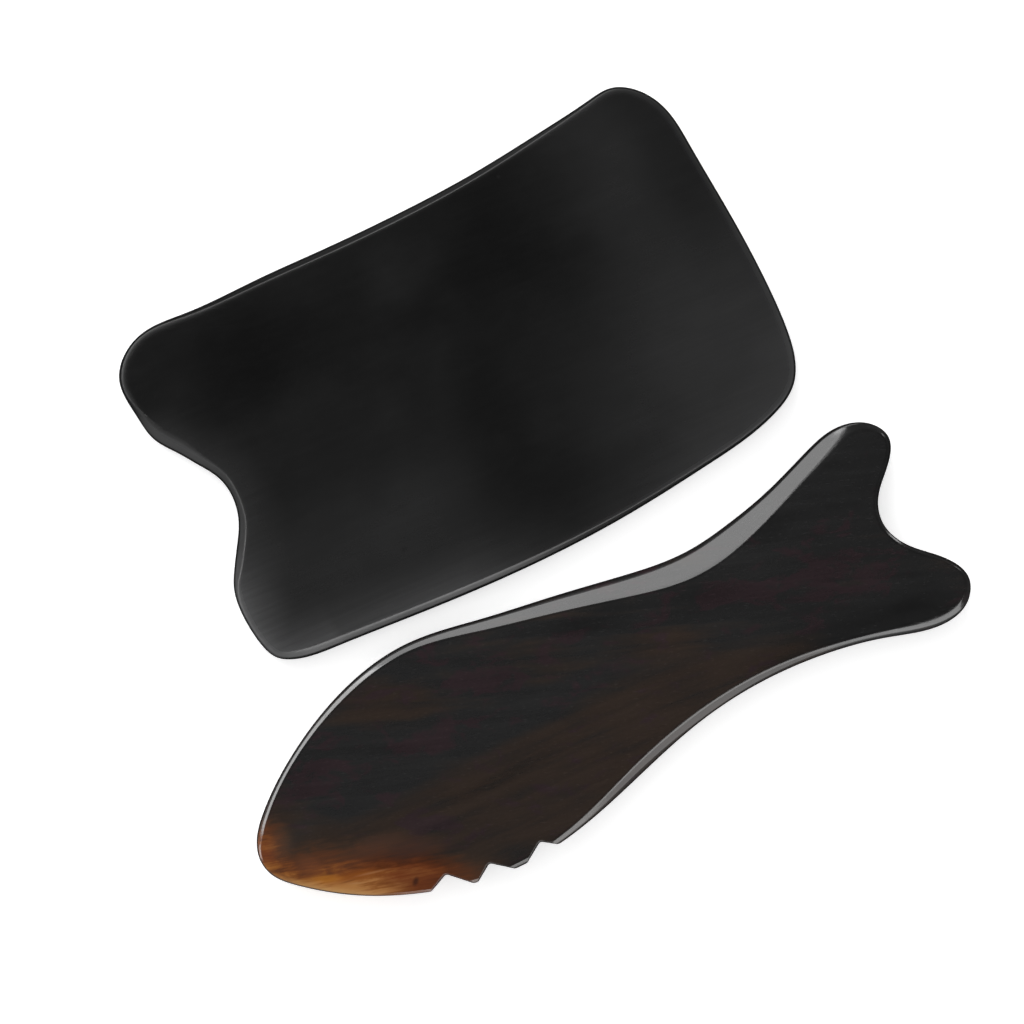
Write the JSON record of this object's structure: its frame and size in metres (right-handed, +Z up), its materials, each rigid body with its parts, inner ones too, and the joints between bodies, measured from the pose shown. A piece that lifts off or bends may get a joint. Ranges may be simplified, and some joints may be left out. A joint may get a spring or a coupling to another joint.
{
  "type": "gua sha scraper",
  "caption": "Pair of polished dark horn massage scrapers: a rectangular plate with a notched end, and a fish with a bevelled back, filed teeth behind the snout and a forked tail.",
  "frame": {"origin": "on the plane that both scrapers rest on, under the middle of the pair", "axes": "+X along both scrapers, towards the plate's plain end and the fish's tail; +Y from the fish to the plate; +Z up, out of the faces"},
  "size_m": [0.1273, 0.1094, 0.007],
  "materials": {
    "plate_horn": "polished black horn, a natural keratin with a gloss like a hard plastic",
    "fish_horn": "polished dark horn with brown streaks and a translucent amber snout"
  },
  "bodies": {
    "plate": {"plate_scraper": "plate_horn"},
    "fish": {"fish_scraper": "fish_horn"}
  },
  "joints": [
    {"name": "fish_lift", "type": "slide", "parent": "plate", "child": "fish", "axis": [0, 0, 1], "range_m": [0, 0.06]}
  ]
}
